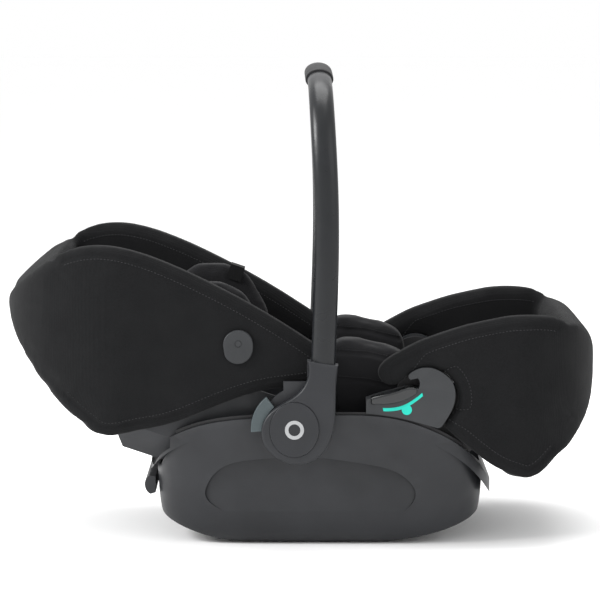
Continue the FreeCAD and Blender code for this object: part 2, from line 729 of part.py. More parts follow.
def make_seat():
    """The hip part of the seat: a pan on posts, a cushion and two side bolsters."""
    pan = box(14, SEAT_END, -148, 148, -40, -36)
    pan = pan.cut(box(98, 104, -22, 22, -50, 0))
    pan.Placement = SEAT
    posts = []
    for x, top in ((52, 79.5), (110, 93.5)):
        posts += [box(x, x + 10, y, y + 10, 7, top) for y in (-112, 102)]
    pan = pan.fuse(posts)
    feature("seat_pan", pan.removeSplitter())
    foam = box(16, SEAT_END - 2, -141, 141, -35.8, -22.3)
    feature("seat_foam", foam.cut(box(98, 104, -22, 22, -50, 0)), SEAT)
    cushion = box(16, SEAT_END - 1, -103, 103, -22, 0)
    cushion = rounded(cushion, 7, lambda e: e.BoundBox.ZMin > -0.01)
    feature("seat_cushion", cushion.cut(box(98, 104, -22, 22, -50, 10)), SEAT)

    def bolster(label):
        outline = smooth((44, 124), (43, 200), (47, 252), (60, 263), (100, 257), (144, 244),
                         (150, 236), (150, 190), (146, 152))
        outline += line((146, 152), (146, 148), (44, 121), (44, 124))
        block = side_prism(outline, -141.5, -104)
        return feature(label, block)

    pair(bolster, "seat_bolster")


TOOTH_RADIUS = 92
TOOTH_ANGLES = (-40, -42.5, -45)


def make_upright(label):
    """The plate that carries the leg rest's pin, with three teeth for the recline latch."""
    wide = 37
    outline = (arc(LEG_PIVOT, TOOTH_RADIUS, -52, -30)
               + line(polar(LEG_PIVOT, TOOTH_RADIUS, -30), polar(LEG_PIVOT, wide, 20))
               + arc(LEG_PIVOT, wide, 20, 190)
               + line(polar(LEG_PIVOT, wide, 190), (136, 124), (58, 124), (58, 109), (126, 109),
                      (150, 118), (180, 120), (203, 138), polar(LEG_PIVOT, TOOTH_RADIUS, -52)))
    body = body_with_pad(label, outline, "Dims.upright_inner", "Dims.upright_thickness",
                         [circle(LEG_PIVOT, 6)])
    for angle in TOOTH_ANGLES:
        notch = circle(polar(LEG_PIVOT, TOOTH_RADIUS, angle), 1.7)
        pocket(body, notch, "Dims.upright_inner + Dims.upright_thickness", "20")
    return keep(body, label)


LEDGE_TOP = [(100, 195), (116, 199), (133, 203.5), (151, 208.5), (158.5, 207)]
LEDGE_LOW = [(100, 187), (116, 186.5), (130, 188), (144.5, 192.5), (158.5, 201)]


def ledge_outline():
    return (smooth(*LEDGE_TOP) + smooth(*LEDGE_LOW) + line(LEDGE_TOP[0], LEDGE_LOW[0])
            + line(LEDGE_TOP[-1], LEDGE_LOW[-1]))


def make_belt_guide(label):
    """The side panel beside the leg rest, hollowed by the slot that the lap belt slides into."""
    outline = smooth((150, 218), (147.5, 222), (155, 229.5), (173, 233.5), (192, 226), (204, 213),
                     (207, 199), (204, 182.5), (196, 167), (188, 155))
    outline += smooth((188, 155), (160, 163), (138, 168.5), (117, 172), (94, 174.5))
    outline += line((94, 174.5), (94, 192)) + smooth((94, 192), (116, 199), (133, 203.5), (151, 208),
                                                   (160.5, 206.5))
    outline += smooth((160.5, 206.5), (162, 213), (159.5, 220)) + line((159.5, 220), (150, 218))
    panel = side_prism(outline, -dim("guide_outer"), -dim("guide_inner"))
    panel = panel.common(side_prism(circle(LEG_PIVOT, 40.3), -200, -100).fuse(
        box(80, 165, -200, -100, 150, 240)))
    panel = panel.cut(side_prism(ledge_outline(), -200, -174))
    for other in ("rocker_shell", "rim_trim"):
        panel = panel.cut(doc.getObject(other).Shape)
    panel = panel.cut(side_prism(circle(LEG_PIVOT, 6), -165, -100))
    return feature(label, largest(panel))


def largest(shape):
    return max(shape.Solids, key=lambda solid: solid.Volume)


def make_belt_hook(label):
    """The rounded glossy lip that the lap belt runs over."""
    lip = side_prism(ledge_outline(), -190, -174)
    return feature(label, rounded(lip, 2.5, lambda e: on_plane(e, -190)))


def make_belt_marker(label):
    """The coloured line on the panel's face, with a round spot in its middle."""
    upper = [(115, 182), (129, 182.4), (141.5, 185.6), (153.5, 192.4), (165, 201.2)]
    lower = [(x + 0.8, z - 4.2) for x, z in upper]
    strip = (smooth(*upper) + smooth(*lower) + line(upper[0], lower[0]) + line(upper[-1], lower[-1]))
    face = -dim("guide_outer")
    mark = side_prism(strip, face - 0.6, face)
    spot = side_prism(circle((145.5, 179.5), 6.5), face - 0.6, face)
    return feature(label, mark.fuse(spot).removeSplitter())


# ---------------------------------------------------------------- leg rest
LEG_FRONT = [(298, 90), (320, 99), (338, 117), (352, 131), (368, 150), (383, 178), (391, 207), (393, 231),
             (388, 255), (378, 273), (362, 286), (340, 294)]
LEG_TOP = [(340, 294), (325, 297), (301, 298), (276, 297), (252, 293), (216, 285), (185, 275),
           (161, 266), (136, 253), (116, 240), (109, 229), (112, 219), (123, 212.5), (134, 214),
           (141, 218.5), (146, 224)]
LEG_LOW = [(298, 90), (274, 98), (252, 109), (236, 121), (215, 138), (190, 159)]


def leg_plan():
    """The leg rest from above: straight sides and a rounded foot end."""
    return plan_prism(252, 141, 188, 2.7).fuse(box(60, 252, -188, 188, -10, 450))


def make_leg_wing(label):
    outline = smooth(*LEG_FRONT) + smooth(*LEG_TOP) + smooth(*LEG_LOW)
    outline += line((146, 224), LEG_PIVOT, (190, 159))
    wing = side_prism(outline, -dim("wing_inner") - dim("wing_thickness"), -dim("wing_inner"))
    clear = dim("guide_radius") + 3
    wing = wing.cut(side_prism(circle(LEG_PIVOT, clear), -200, -100))
    wing = wing.common(leg_plan())
    solids = sorted(wing.Solids, key=lambda solid: solid.Volume)
    return feature(label, solids[-1])


def make_leg_rest():
    """The leg rest's plastic tray, its cushion and the padded foot end."""
    plate_in = dim("leg_plate_inner")
    plate_out = plate_in + dim("leg_plate_thickness")
    side = (arc(LEG_PIVOT, 15, 90, 230) + line(polar(LEG_PIVOT, 15, 230), (196, 128), (262, 120))
            + line((262, 120), (322, 126), (345, 142), (356, 170), (345, 200), (300, 212))
            + line((300, 212), polar(LEG_PIVOT, 15, 90)))
    tray = side_prism(side, -plate_out, plate_out)
    hollow = (line((140, 260), (140, 166), (200, 134), (262, 126), (319, 132), (339, 146),
                   (349, 170), (340, 194), (345, 260), (140, 260)))
    tray = tray.cut(side_prism(hollow, -plate_in, plate_in))
    tray = tray.cut(rod(6.06, *LEG_PIVOT, -200, 200))
    feature("leg_tray", tray.removeSplitter())
    pad = (line((176, 180), (176, 151), (204, 138.5), (262, 129), (316, 134), (318, 192))
           + smooth((318, 192), (250, 172), (176, 150.9 + 29.1)))
    feature("leg_pad", side_prism(pad, -plate_in + 0.6, plate_in - 0.6))
    front = [(391, 207), (393, 231), (388, 254), (378, 271), (362, 284), (349, 286), (343, 268),
             (346, 236), (351, 205), (352, 176), (341, 150), (330, 130), (331, 116), (340, 118),
             (353, 131), (368, 150), (384, 178)]
    end = side_prism(loop(*front), -157.6, 157.6).common(leg_plan())
    feature("foot_end_bolster", end.cut(side_prism(side, -160, 160)))


def make_recline_lever():
    """A pull bar under the foot end, with an arm on each side that drops into the teeth."""
    grip = smooth((264, 104), (270, 96), (294, 88), (314, 95), (317, 104))
    grip += line((317, 104), (311, 104)) + smooth((311, 104), (294, 93), (274, 100), (269, 107))
    grip += line((269, 107), (264, 104))
    bar = side_prism(grip, -156.5, 156.5)
    pin = polar(LEG_PIVOT, TOOTH_RADIUS + 1.9, TOOTH_ANGLES[0])
    arms = []
    for y0, y1 in ((-156.5, -150.5), (150.5, 156.5)):
        arm = line((262, 104), (276, 98), (282, 104), (256, 138), (pin[0] + 1, pin[1] + 5),
                   (pin[0] + 3, pin[1] - 2), (262, 104))
        arms.append(side_prism(arm, y0, y1).cut(side_prism(circle(LEG_PIVOT, TOOTH_RADIUS + 1),
                                                           -200, 200)))
        arms.append(rod(1.6, *pin, y0, y1))
    feature("recline_lever", bar.fuse(arms).removeSplitter())


def make_release_handle():
    """The pull at the head end of the shell, on two stems that slide up in the shell's slots."""
    outline = (line((-178.4, 57), (-185, 55)) + smooth((-185, 55), (-191, 61), (-192, 72), (-187, 79))
               + line((-187, 79), (-178.4, 78), (-178.4, 57)))
    grip = side_prism(outline, -98, 98).cut(plan_prism(37, 215.4, 184, SQUARENESS))
    stems = [box(-180, -168, y, y + 10, 66, 74) for y in (-58, 48)]
    hooks = [box(-170, -166, y - 3, y + 13, 66, 74) for y in (-58, 48)]
    feature("release_handle", grip.fuse(stems + hooks).removeSplitter())


def make_adjuster():
    """The button that frees the harness strap, and the strap's loose end."""
    housing = box(104.5, 124, -16, 16, 0.3, 8)
    housing = housing.cut(box(108.7, 120.3, -10.3, 10.3, 2, 9))
    feature("adjuster_housing", housing, SEAT)
    button = box(109, 120, -10, 10, 4.2, 9.6)
    feature("adjuster_button", rounded(button, 1, lambda e: e.BoundBox.ZMin > 9.5), SEAT)


make_rocker_shell()
make_rim_trim()
make_feet_and_bars()
pair(make_hub_bracket, "hub_bracket", "hub_brackets")
make_handle()
pair(make_release_button, "release_button")
pair(make_release_spring, "release_spring", "release_springs")
pair(make_pivot_pin, "pivot_pin", "pivot_pins")
pair(make_pivot_spacer, "pivot_spacer", "pivot_spacers")
pair(make_back_wing, "back_wing")
make_head_end()
make_back_shell()
make_back_pads()
pair(make_canopy_mount, "canopy_mount", "canopy_mounts")
make_headrest()
make_harness()
make_seat()
pair(make_upright, "seat_upright", "seat_uprights")
pair(make_belt_guide, "belt_guide")
pair(make_belt_hook, "belt_hook", "belt_hooks")
pair(make_belt_marker, "belt_marker", "belt_markers")
pair(make_leg_wing, "leg_wing")
make_leg_rest()
pair(make_leg_pin, "leg_pin", "leg_pins")
make_recline_lever()
make_release_handle()
make_adjuster()

# ---------------------------------------------------------------- checks and export
doc.recompute()
for obj in doc.Objects:
    if {"Invalid", "Error"} & set(obj.State):
        raise RuntimeError(f"{obj.Label} failed: {obj.State}")
os.makedirs("parts", exist_ok=True)
for obj in parts:
    shape = obj.Shape
    if shape.isNull() or not shape.isValid() or not shape.Solids:
        raise RuntimeError(f"{obj.Label} has no valid solid")
    shape.exportStep(f"parts/{obj.Label}.step")
print(len(parts), "sub-parts written")
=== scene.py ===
import json
import math

import bmesh
import bpy
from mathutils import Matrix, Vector
from mathutils.bvhtree import BVHTree
from mathutils.kdtree import KDTree


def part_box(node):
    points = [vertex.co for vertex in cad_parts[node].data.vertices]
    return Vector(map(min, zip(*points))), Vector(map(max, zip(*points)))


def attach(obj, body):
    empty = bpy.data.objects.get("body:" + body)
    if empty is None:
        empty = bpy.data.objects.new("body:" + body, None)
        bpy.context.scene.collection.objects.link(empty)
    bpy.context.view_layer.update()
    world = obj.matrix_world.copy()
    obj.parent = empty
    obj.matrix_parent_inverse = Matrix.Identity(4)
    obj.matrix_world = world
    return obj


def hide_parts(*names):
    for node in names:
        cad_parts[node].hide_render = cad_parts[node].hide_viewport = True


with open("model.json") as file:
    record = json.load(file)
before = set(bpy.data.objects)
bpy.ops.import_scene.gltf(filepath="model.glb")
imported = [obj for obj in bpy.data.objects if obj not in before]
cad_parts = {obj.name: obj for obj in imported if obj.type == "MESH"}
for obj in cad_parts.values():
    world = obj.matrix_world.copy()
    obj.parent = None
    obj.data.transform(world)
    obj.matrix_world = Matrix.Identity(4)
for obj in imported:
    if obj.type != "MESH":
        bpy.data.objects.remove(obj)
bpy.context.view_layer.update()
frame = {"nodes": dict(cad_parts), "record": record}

NODES = frame["nodes"]


# ---------------------------------------------------------------- materials
PLASTIC_GLOSS, CLOTH_GLOSS = 0.32, 0.1  # Specular IOR Level
MELANGE = 0.5                           # how far single yarns stray from the cloth's colour
WAVE_SCALE = 0.314                      # the wave texture's scale for a period of one metre
MIN_SHADE, MAX_SHADE = 0.3, 0.7         # the part of a noise's range that is made use of


def new_material(name):
    material = bpy.data.materials.new(name)
    material.use_nodes = True
    tree = material.node_tree
    return material, tree, tree.nodes["Principled BSDF"]


def add(tree, kind, **values):
    """A new shader node; each value sets a property, or else the input of that name."""
    node = tree.nodes.new("ShaderNode" + kind)
    for key, value in values.items():
        if hasattr(node, key):
            setattr(node, key, value)
        else:
            node.inputs[key.replace("_", " ")].default_value = value
    return node


def object_coords(tree):
    return add(tree, "TexCoord").outputs["Object"]


def noise_of(tree, scale, detail=2.0, roughness=0.5):
    node = add(tree, "TexNoise", Scale=scale, Detail=detail, Roughness=roughness)
    tree.links.new(object_coords(tree), node.inputs["Vector"])
    return node.outputs["Fac"]


def ramp_of(tree, factor, low, high, dark, light):
    """A colour that goes from dark to light between two values of the factor."""
    node = add(tree, "ValToRGB")
    node.color_ramp.elements[0].position = low
    node.color_ramp.elements[1].position = high
    node.color_ramp.elements[0].color = (*dark, 1)
    node.color_ramp.elements[1].color = (*light, 1)
    tree.links.new(factor, node.inputs["Fac"])
    return node.outputs["Color"]


def range_of(tree, factor, low, high):
    """A noise stretched to run from low to high."""
    node = add(tree, "MapRange")
    node.inputs["From Min"].default_value = MIN_SHADE
    node.inputs["From Max"].default_value = MAX_SHADE
    node.inputs["To Min"].default_value = low
    node.inputs["To Max"].default_value = high
    tree.links.new(factor, node.inputs["Value"])
    return node.outputs["Result"]


def bump_of(tree, shader, height, strength, distance, after=None):
    node = add(tree, "Bump", Strength=strength, Distance=distance)
    tree.links.new(height, node.inputs["Height"])
    if after:
        tree.links.new(after, node.inputs["Normal"])
    tree.links.new(node.outputs["Normal"], shader.inputs["Normal"])
    return node.outputs["Normal"]


def moulded(name, colour, roughness, grain=900, wear=0.25, coat=0.0):
    """Moulded plastic: fine grain, cloudy gloss and slightly paler edges."""
    material, tree, shader = new_material(name)
    cloud = noise_of(tree, 14, 4)
    dark = [c * 0.86 for c in colour]
    light = [min(1, c * 1.12) for c in colour]
    base = ramp_of(tree, cloud, 0.35, 0.65, dark, light)
    edge = add(tree, "NewGeometry").outputs["Pointiness"]
    mask = add(tree, "MapRange")
    mask.inputs["From Min"].default_value = 0.52
    mask.inputs["From Max"].default_value = 0.62
    mask.inputs["To Max"].default_value = wear
    tree.links.new(edge, mask.inputs["Value"])
    mix = add(tree, "Mix", data_type="RGBA")
    tree.links.new(mask.outputs["Result"], mix.inputs["Factor"])
    tree.links.new(base, mix.inputs["A"])
    pale = [min(1, c * 1.9 + 0.02) for c in colour]
    mix.inputs["B"].default_value = (*pale, 1)
    tree.links.new(mix.outputs["Result"], shader.inputs["Base Color"])
    rough = range_of(tree, noise_of(tree, 45, 3), roughness - 0.05, roughness + 0.07)
    tree.links.new(rough, shader.inputs["Roughness"])
    bump_of(tree, shader, noise_of(tree, grain, 1), 0.12, 0.0004)
    shader.inputs["Coat Weight"].default_value = coat
    shader.inputs["Specular IOR Level"].default_value = PLASTIC_GLOSS
    return material


def metal(name, colour, roughness):
    """Bare metal with faint streaks in its colour and gloss."""
    material, tree, shader = new_material(name)
    streak = noise_of(tree, 120, 6, 0.7)
    tree.links.new(ramp_of(tree, streak, 0.3, 0.7, [c * 0.8 for c in colour], colour),
                   shader.inputs["Base Color"])
    tree.links.new(range_of(tree, streak, roughness - 0.08, roughness + 0.1),
                   shader.inputs["Roughness"])
    shader.inputs["Metallic"].default_value = 1.0
    bump_of(tree, shader, noise_of(tree, 700, 2), 0.1, 0.0002)
    return material


def wave_of(tree, axis, period):
    """Threads that repeat at the given period, in metres."""
    node = add(tree, "TexWave", wave_type="BANDS", bands_direction=axis, wave_profile="SIN")
    node.inputs["Scale"].default_value = WAVE_SCALE / period
    node.inputs["Distortion"].default_value = 0.4
    node.inputs["Detail"].default_value = 1.0
    node.inputs["Detail Scale"].default_value = 4.0
    tree.links.new(object_coords(tree), node.inputs["Vector"])
    return node.outputs["Fac"]


def math_of(tree, operation, a, b):
    node = add(tree, "Math", operation=operation)
    tree.links.new(a, node.inputs[0])
    tree.links.new(b, node.inputs[1])
    return node.outputs["Value"]


def woven(name, colour, period=0.0016, sheen=0.04):
    """Woven cloth: three crossed thread directions, heathered yarn and a soft sheen."""
    material, tree, shader = new_material(name)
    crossed = math_of(tree, "MULTIPLY", wave_of(tree, "X", period), wave_of(tree, "Z", period))
    weave = math_of(tree, "ADD", crossed, wave_of(tree, "Y", period))
    yarn = noise_of(tree, 1500, 2, 0.6)
    dark = [c * (1 - MELANGE * 0.6) for c in colour]
    light = [min(1, c * (1 + MELANGE)) for c in colour]
    tree.links.new(ramp_of(tree, yarn, 0.35, 0.68, dark, light), shader.inputs["Base Color"])
    tree.links.new(range_of(tree, noise_of(tree, 30, 3), 0.82, 0.96), shader.inputs["Roughness"])
    shader.inputs["Sheen Weight"].default_value = sheen
    shader.inputs["Sheen Roughness"].default_value = 0.45
    shader.inputs["Specular IOR Level"].default_value = CLOTH_GLOSS
    folds = bump_of(tree, shader, noise_of(tree, 16, 3), 0.25, 0.004)
    bump_of(tree, shader, weave, 0.35, 0.0005, folds)
    return material


MATERIALS = {
    "shell_plastic": moulded("shell_plastic", (0.017, 0.018, 0.0205), 0.46),
    "trim_plastic": moulded("trim_plastic", (0.008, 0.008, 0.009), 0.5),
    "foot_rubber": moulded("foot_rubber", (0.012, 0.012, 0.012), 0.8),
    "steel": metal("steel", (0.5, 0.5, 0.51), 0.3),
    "handle_metal": moulded("handle_metal", (0.009, 0.010, 0.0115), 0.3, grain=1600, wear=0.05),
    "hub_plastic": moulded("hub_plastic", (0.0135, 0.0145, 0.017), 0.42, wear=0.4),
    "ring_inlay": moulded("ring_inlay", (0.27, 0.275, 0.28), 0.45),
    "button_plastic": moulded("button_plastic", (0.055, 0.072, 0.077), 0.42),
    "grip_skin": moulded("grip_skin", (0.008, 0.008, 0.009), 0.6, grain=500),
    "guide_plastic": moulded("guide_plastic", (0.02, 0.0215, 0.0235), 0.46),
    "hook_plastic": moulded("hook_plastic", (0.012, 0.013, 0.014), 0.16, coat=0.4),
    "marker": moulded("marker", (0.004, 0.42, 0.33), 0.35),
    "fabric": woven("fabric", (0.0078, 0.008, 0.0085)),
    "inner_fabric": woven("inner_fabric", (0.011, 0.011, 0.012), period=0.0012, sheen=0.1),
    "foam": woven("foam", (0.016, 0.016, 0.017)),
    "webbing": woven("webbing", (0.009, 0.009, 0.0095), period=0.0022),
    "thread": woven("thread", (0.035, 0.035, 0.037), period=0.0006, sheen=0.1),
    "pan_plastic": moulded("pan_plastic", (0.014, 0.014, 0.015), 0.5),
    "buckle_plastic": moulded("buckle_plastic", (0.012, 0.012, 0.013), 0.38),
    "buckle_red": moulded("buckle_red", (0.45, 0.012, 0.01), 0.3),
}
SLOTS = {entry["node"]: entry["material_slot"] for entry in frame["record"]["subparts"]}
SOFT_SLOTS = ("fabric", "inner_fabric", "foam", "webbing")
EDGE_RADIUS, EDGE_ANGLE = 0.0006, math.radians(35)


def dress(piece, material):
    piece.data.materials.clear()
    piece.data.materials.append(MATERIALS[material])


for node, piece in NODES.items():
    dress(piece, SLOTS[node])
    for polygon in piece.data.polygons:
        polygon.use_smooth = True
    if SLOTS[node] not in SOFT_SLOTS:
        bevel = piece.modifiers.new("edges", "BEVEL")
        bevel.width = EDGE_RADIUS
        bevel.segments = 2
        bevel.limit_method = "ANGLE"
        bevel.angle_limit = EDGE_ANGLE
        bevel.harden_normals = True


# ---------------------------------------------------------------- helpers
def link(name, mesh, material, body=None):
    """A new smooth piece, which rides a body if one is given."""
    piece = bpy.data.objects.new(name, mesh)
    bpy.context.scene.collection.objects.link(piece)
    dress(piece, material)
    for polygon in mesh.polygons:
        polygon.use_smooth = True
    if body:
        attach(piece, body)
    return piece


def apply_modifiers(piece):
    graph = bpy.context.evaluated_depsgraph_get()
    mesh = bpy.data.meshes.new_from_object(piece.evaluated_get(graph))
    piece.modifiers.clear()
    piece.data = mesh


def tree_of(piece):
    mesh = piece.data
    return BVHTree.FromPolygons([v.co for v in mesh.vertices],
                                [polygon.vertices for polygon in mesh.polygons])


# ---------------------------------------------------------------- seams and stitches
FLAT = 0.985                      # the least y of the normal of a face that looks along y
STITCH_STEP = 0.0022              # between the ends of the threads and the gaps
THREAD_RADIUS, THREAD_LIFT = 0.0004, 0.0002
LONGEST_STITCH, SHORTEST_STITCH = 0.0096, 0.0005
THREAD_TURNS = (0, 1.257, 2.513, 3.77, 5.027)
THREAD_RINGS = ((0, 0.35), (0.18, 1), (0.82, 1), (1, 0.35))  # share of length, of radius
OUTER_START, INNER_START, HIP_INNER_START = 0.64, 0.144, 0.0008  # y where the rays start
DROP_HEIGHT = 0.6                 # above all pads
STITCH_INSET = 0.0045             # from a wing's channel to its row of stitches
GROOVE_REACH = 2.5                # in widths, where a channel has faded out


def rounded_xz(co):
    return round(co.x, 5), round(co.z, 5)


def outline_of(node):
    """The edge of a wing's flat face on the +Y side as a closed run of (x, z)."""
    mesh = NODES[node].data
    uses = {}
    for polygon in mesh.polygons:
        if polygon.normal.y > FLAT:
            for key in polygon.edge_keys:
                a, b = (rounded_xz(mesh.vertices[i].co) for i in key)
                if a != b:
                    pair = (min(a, b), max(a, b))
                    uses[pair] = uses.get(pair, 0) + 1
    follow = {}
    for (a, b), count in uses.items():
        if count == 1:
            follow.setdefault(a, []).append(b)
            follow.setdefault(b, []).append(a)
    best = []
    seen = set()
    for first in follow:
        if first in seen:
            continue
        run, point = [], first
        while point is not None:
            seen.add(point)
            run.append(point)
            point = next((other for other in follow[point] if other not in seen), None)
        if len(run) > len(best):
            best = run
    return [Vector(point) for point in best]


def even(points, step, closed=False):
    """The same run of points, a step apart."""
    if closed:
        points = points + points[:1]
    made, carried = [points[0].copy()], 0.0
    for a, b in zip(points, points[1:]):
        length = (b - a).length
        while length > 0 and carried + length >= step:
            share = (step - carried) / length
            a = a.lerp(b, share)
            made.append(a.copy())
            length = (b - a).length
            carried = 0.0
        carried += length
    return made


def smoothed(points, times):
    """An open run of points evened out, with its ends held."""
    for _ in range(times):
        points = ([points[0]] + [(a + b * 2 + c) / 4 for a, b, c in
                                 zip(points, points[1:], points[2:])] + [points[-1]])
    return points


def laid_on(tree, points, toward, start_y):
    """(x, z) points laid on a surface along y, as (place, normal); toward is -1 or 1."""
    found = []
    for point in points:
        start = Vector((point.x, -toward * start_y, point.y))
        hit, normal, _, _ = tree.ray_cast(start, Vector((0, toward, 0)))
        if hit is not None:
            found.append((hit, normal))
    return found


def groove(piece, points, depth, width):
    """Presses a sewn channel into a soft surface along the given points."""
    finder = KDTree(len(points))
    for i, (place, _) in enumerate(points):
        finder.insert(place, i)
    finder.balance()
    for vertex in piece.data.vertices:
        _, _, distance = finder.find(vertex.co)
        if distance < width * GROOVE_REACH:
            vertex.co -= vertex.normal * depth * math.exp(-(distance / width) ** 2)


def stitches(name, runs, body):
    """Short rounded threads laid end to end along each run of (place, normal)."""
    mesh = bmesh.new()
    for run in runs:
        places = [place + normal * THREAD_LIFT for place, normal in run]
        for a, b in zip(places[::2], places[1::2]):
            along = b - a
            if not SHORTEST_STITCH < along.length < LONGEST_STITCH:
                continue
            along.normalize()
            across = along.orthogonal().normalized()
            third = along.cross(across)
            rings = []
            for share, size in THREAD_RINGS:
                centre = a.lerp(b, share)
                rings.append([mesh.verts.new(centre + (across * math.cos(turn) + third
                                                       * math.sin(turn)) * THREAD_RADIUS * size)
                              for turn in THREAD_TURNS])
            for low, high in zip(rings, rings[1:]):
                for i in range(len(low)):
                    after = (i + 1) % len(low)
                    mesh.faces.new((low[i], low[after], high[after], high[i]))
            mesh.faces.new(rings[0][::-1])
            mesh.faces.new(rings[-1])
    data = bpy.data.meshes.new(name)
    mesh.to_mesh(data)
    mesh.free()
    return link(name, data, "thread", body)


# ---------------------------------------------------------------- soft covers
# piece: (nodes, body, material, voxel, relaxing rounds, growth before it, most swelling, fullness)
COVERS = {
    "cover_backrest": (("back_wing_left", "back_wing_right", "head_end_bolster"),
                       "backrest", "fabric", 0.0045, 16, 0.002, 0.002, 0.7),
    "cover_leg_rest": (("leg_wing_left", "leg_wing_right", "foot_end_bolster"),
                       "leg_rest", "fabric", 0.0045, 16, 0.002, 0.002, 0.7),
    "cover_leg_pad": (("leg_pad",), "leg_rest", "inner_fabric", 0.0045, 6, 0, 0.005, 0.6),
    "cover_back_pad": (("back_pad",), "backrest", "inner_fabric", 0.0045, 6, 0, 0.004, 0.6),
    "cover_side_foam": (("side_foam",), "backrest", "inner_fabric", 0.0045, 8, 0, 0.003, 0.7),
    "cover_seat": (("seat_cushion",), "base", "inner_fabric", 0.0045, 6, 0, 0.005, 0.6),
    "cover_hips": (("seat_bolster_left", "seat_bolster_right"), "base", "inner_fabric",
                   0.004, 22, 0.0005, 0.002, 0.7),
    "cover_head_pad": (("headrest_pad",), "headrest", "inner_fabric", 0.004, 8, 0, 0.004, 0.6),
    "cover_head_sides": (("headrest_wing_left", "headrest_wing_right"), "headrest",
                         "inner_fabric", 0.004, 12, 0, 0.002, 0.7),
    "cover_chest_pads": (("chest_pads",), "backrest", "inner_fabric", 0.0025, 4, 0, 0.003, 0.6),
}
WING_INNER, WING_OUTER, CROWN = 0.158, 0.188, 0.012  # y of the faces, radius of the edges
INNER_CROWN = 0.7                                    # the inner edge's share of that radius
CROWN_FADE, END_REACH = 0.04, 0.01                   # distances from the padded end
CLOTH_FRAMES = 20


def joined(nodes, name, material, growth):
    """One mesh from several plain solids, each grown a little so that neighbours meet."""
    mesh = bmesh.new()
    for node in nodes:
        start = len(mesh.verts)
        mesh.from_mesh(NODES[node].data)
        mesh.verts.ensure_lookup_table()
        mesh.normal_update()
        for vertex in mesh.verts[start:]:
            vertex.co += vertex.normal * growth
    data = bpy.data.meshes.new(name)
    mesh.to_mesh(data)
    mesh.free()
    return link(name, data, material)


def remeshed(piece, voxel):
    """Even small faces all over, as one closed skin."""
    remesh = piece.modifiers.new("remesh", "REMESH")
    remesh.mode = "VOXEL"
    remesh.voxel_size = voxel
    apply_modifiers(piece)


def relaxed(piece, rounds):
    relax = piece.modifiers.new("relax", "SMOOTH")
    relax.factor = 0.5
    relax.iterations = rounds
    apply_modifiers(piece)


def finder_of(points):
    """Looks up the nearest of some (x, z) points."""
    finder = KDTree(len(points))
    for i, point in enumerate(points):
        finder.insert((point.x, 0, point.y), i)
    finder.balance()
    return finder


def crowned(piece, outline, end_x):
    """Rounds both faces of a pair of wings off towards their outline, fading out at end_x."""
    finder = finder_of(even(outline, 0.002, closed=True))
    for vertex in piece.data.vertices:
        y = abs(vertex.co.y)
        if y < WING_INNER - 0.004:
            continue
        _, _, distance = finder.find((vertex.co.x, 0, vertex.co.z))
        fade = min(1.0, abs(vertex.co.x - end_x) / CROWN_FADE)
        inset = 1 - min(1.0, distance / CROWN)
        drop = CROWN * fade * (1 - math.sqrt(max(0.0, 1 - inset ** 2)))
        y = min(y, WING_OUTER - drop)
        if abs(vertex.co.x - end_x) > END_REACH:
            y = max(y, WING_INNER + drop * INNER_CROWN)
        vertex.co.y = math.copysign(y, vertex.co.y)


def swell(pieces):
    """Blows the covers up a little like stuffed cloth, with each point's movement capped."""
    scene = bpy.context.scene
    scene.frame_start, scene.frame_end = 1, CLOTH_FRAMES
    rest = {}
    for piece, _ in pieces:
        rest[piece.name] = [v.co.copy() for v in piece.data.vertices]
        cloth = piece.modifiers.new("cloth", "CLOTH")
        cloth.settings.quality = 3
        cloth.settings.mass = 0.3
        cloth.settings.tension_stiffness = 15
        cloth.settings.compression_stiffness = 15
        cloth.settings.bending_stiffness = 0.4
        cloth.settings.use_pressure = True
        cloth.settings.uniform_pressure_force = 4.0
        cloth.settings.effector_weights.gravity = 0
        cloth.collision_settings.use_collision = False
        cloth.point_cache.frame_start = 1
        cloth.point_cache.frame_end = CLOTH_FRAMES
    for frame_number in range(1, CLOTH_FRAMES + 1):
        scene.frame_set(frame_number)
    graph = bpy.context.evaluated_depsgraph_get()
    for piece, cap in pieces:
        swollen = [v.co.copy() for v in piece.evaluated_get(graph).data.vertices]
        piece.modifiers.clear()
        for vertex, start, end in zip(piece.data.vertices, rest[piece.name], swollen):
            move = end - start
            if move.length > cap:
                move = move.normalized() * cap
            vertex.co = start + move
    scene.frame_set(1)


def finish_cover(piece):
    smooth = piece.modifiers.new("smooth", "SUBSURF")
    smooth.levels = smooth.render_levels = 1
    apply_modifiers(piece)
    for polygon in piece.data.polygons:
        polygon.use_smooth = True


def wing_outline(wing):
    """The wing's edge in side view and the x at which it meets the padded end."""
    outline = outline_of(wing)
    low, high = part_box(wing)
    end_x = low[0] if wing.startswith("back") else high[0]
    kept = [point for point in outline if abs(point.x - end_x) > 0.004]
    gap = max(range(len(kept)), key=lambda i: (kept[i] - kept[i - 1]).length)
    return kept[gap:] + kept[:gap], end_x


OUTLINES = {"cover_backrest": wing_outline("back_wing_right"),
            "cover_leg_rest": wing_outline("leg_wing_right")}
covers = {}
swelling = []
for name, (nodes, _, material, voxel, rounds, growth, cap, _) in COVERS.items():
    covers[name] = joined(nodes, name, material, growth)
    remeshed(covers[name], voxel)
    if name in OUTLINES:
        crowned(covers[name], *OUTLINES[name])
    relaxed(covers[name], rounds)
    swelling.append((covers[name], cap))
swell(swelling)
for cover in covers.values():
    finish_cover(cover)


def offset_run(outline, distance):
    """An open run moved towards the middle of the shape it bounds."""
    points = even(outline, 0.003)
    middle = sum(points, Vector((0, 0))) / len(points)
    moved = []
    for i, point in enumerate(points):
        along = (points[min(i + 2, len(points) - 1)] - points[max(i - 2, 0)]).normalized()
        across = Vector((-along.y, along.x))
        if across.dot(middle - point) < 0:
            across = -across
        spot = point + across * distance
        if min((spot - other).length for other in points) > distance * 0.93:
            moved.append(spot)
    return moved


